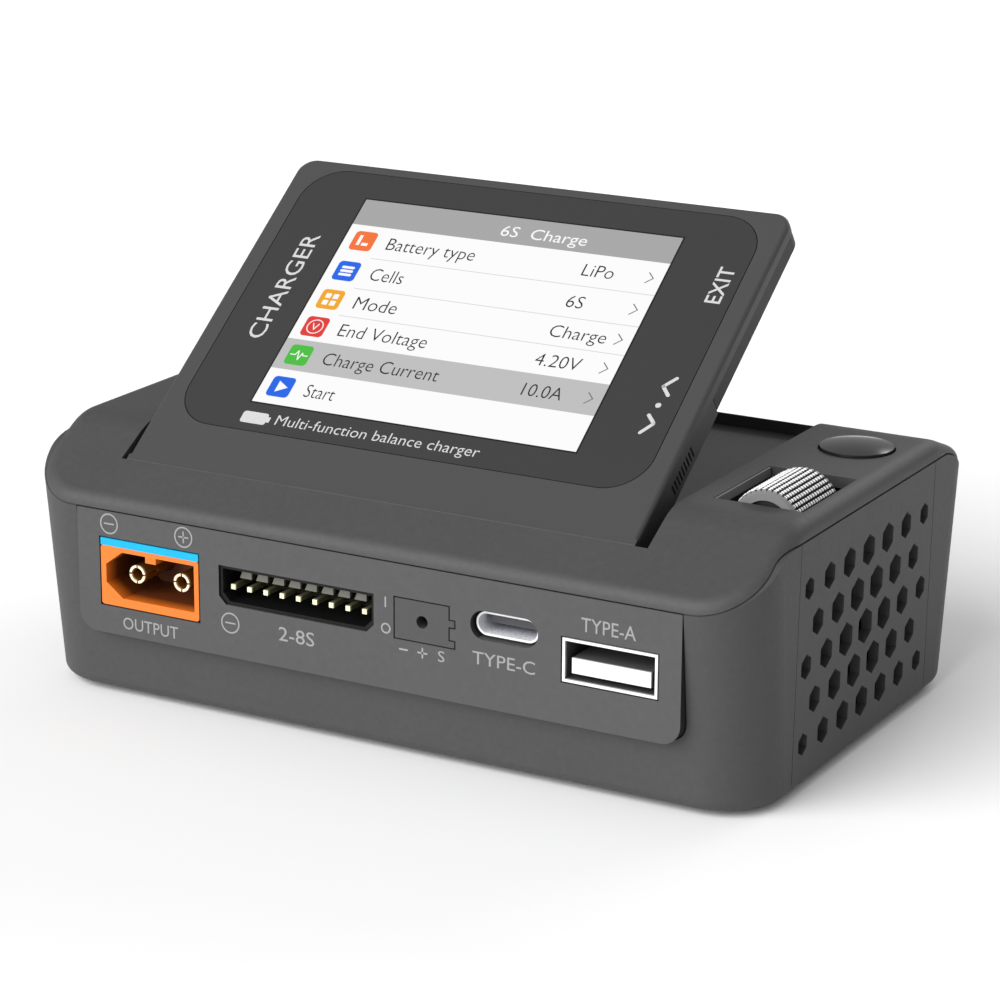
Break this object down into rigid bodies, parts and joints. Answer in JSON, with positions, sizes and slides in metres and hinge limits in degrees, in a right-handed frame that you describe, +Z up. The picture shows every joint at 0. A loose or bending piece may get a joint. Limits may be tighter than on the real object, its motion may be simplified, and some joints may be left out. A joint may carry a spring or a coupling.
{
  "type": "balance battery charger",
  "caption": "Compact battery balance charger: drafted case with a tilting colour screen, knurled control roller, exit button, output, balance, signal and USB ports, hexagonal side vents.",
  "frame": {"origin": "bottom centre of the whole charger, on the surface that its feet stand on", "axes": "+Z up; +X to the right seen from the front; +Y to the rear, away from the panel with the output and balance sockets"},
  "size_m": [0.1082, 0.071, 0.0652],
  "materials": {
    "case": "fine-grain matte dark grey moulded plastic",
    "panel": "satin mid-grey plastic",
    "screen_frame": "smooth dark grey plastic",
    "screen_glass": "dark grey cover window over a colour display",
    "black_plastic": "black moulded plastic",
    "orange_plastic": "bright orange moulded plastic",
    "cyan_plastic": "bright cyan plastic strip",
    "gold": "gold-plated contacts",
    "plated_steel": "nickel-plated steel",
    "white_plastic": "white moulded plastic",
    "knurled_metal": "knurled silver-plated roller",
    "steel": "zinc-plated steel",
    "aluminium": "extruded aluminium",
    "board": "green glass-fibre circuit board",
    "dark_component": "black epoxy component body",
    "rubber": "soft black rubber"
  },
  "bodies": {
    "base": {"base_shell": "case", "top_cover": "case", "left_grille": "case", "right_grille": "case", "front_panel": "panel", "rear_panel": "panel", "output_socket": "orange_plastic", "output_strip": "cyan_plastic", "output_pins": "gold", "input_socket": "orange_plastic", "input_pins": "gold", "balance_socket": "black_plastic", "balance_pins": "gold", "signal_port": "orange_plastic", "usb_c_shell": "plated_steel", "usb_c_tongue": "black_plastic", "usb_a_shell": "plated_steel", "usb_a_tongue": "white_plastic", "port_board": "board", "port_header": "black_plastic", "hinge_brackets": "steel", "hinge_pins": "steel", "exit_switch": "dark_component", "roller_switch": "dark_component", "control_board": "board", "main_board": "board", "board_screws": "steel", "power_transistors": "dark_component", "heat_sink": "aluminium", "capacitors": "dark_component", "inductors": "dark_component", "fan_frame": "black_plastic", "fan_screws": "steel", "case_screws": "steel", "feet": "rubber"},
    "screen": {"screen_bezel": "screen_frame", "screen_glass": "screen_glass", "lcd_module": "steel", "display_board": "board", "screen_back": "black_plastic", "hinge_block": "case", "screen_screws": "steel"},
    "roller_carrier": {"roller_cradle": "black_plastic", "roller_encoder": "dark_component"},
    "roller": {"roller": "knurled_metal", "roller_axle": "steel"},
    "exit_button": {"exit_button": "black_plastic"},
    "fan": {"fan_rotor": "black_plastic"}
  },
  "joints": [
    {"name": "screen_tilt", "type": "hinge", "parent": "base", "child": "screen", "pos_m": [0, -0.02115, 0.0294], "axis": [1, 0, 0], "range_deg": [-36.84, 6]},
    {"name": "roller_press", "type": "slide", "parent": "base", "child": "roller_carrier", "axis": [0, 0, -1], "range_m": [0, 0.0005], "stiffness_N_per_m": 500, "springref_m": -0.001},
    {"name": "roller_spin", "type": "hinge", "parent": "roller_carrier", "child": "roller", "pos_m": [0.0466, -0.0112, 0.03305], "axis": [0, 1, 0], "continuous": true},
    {"name": "exit_button_press", "type": "slide", "parent": "base", "child": "exit_button", "axis": [0, 0, -1], "range_m": [0, 0.0005], "stiffness_N_per_m": 400, "springref_m": -0.001},
    {"name": "fan_spin", "type": "hinge", "parent": "base", "child": "fan", "pos_m": [-0.0454, 0.0015, 0.0164], "axis": [1, 0, 0], "continuous": true}
  ]
}
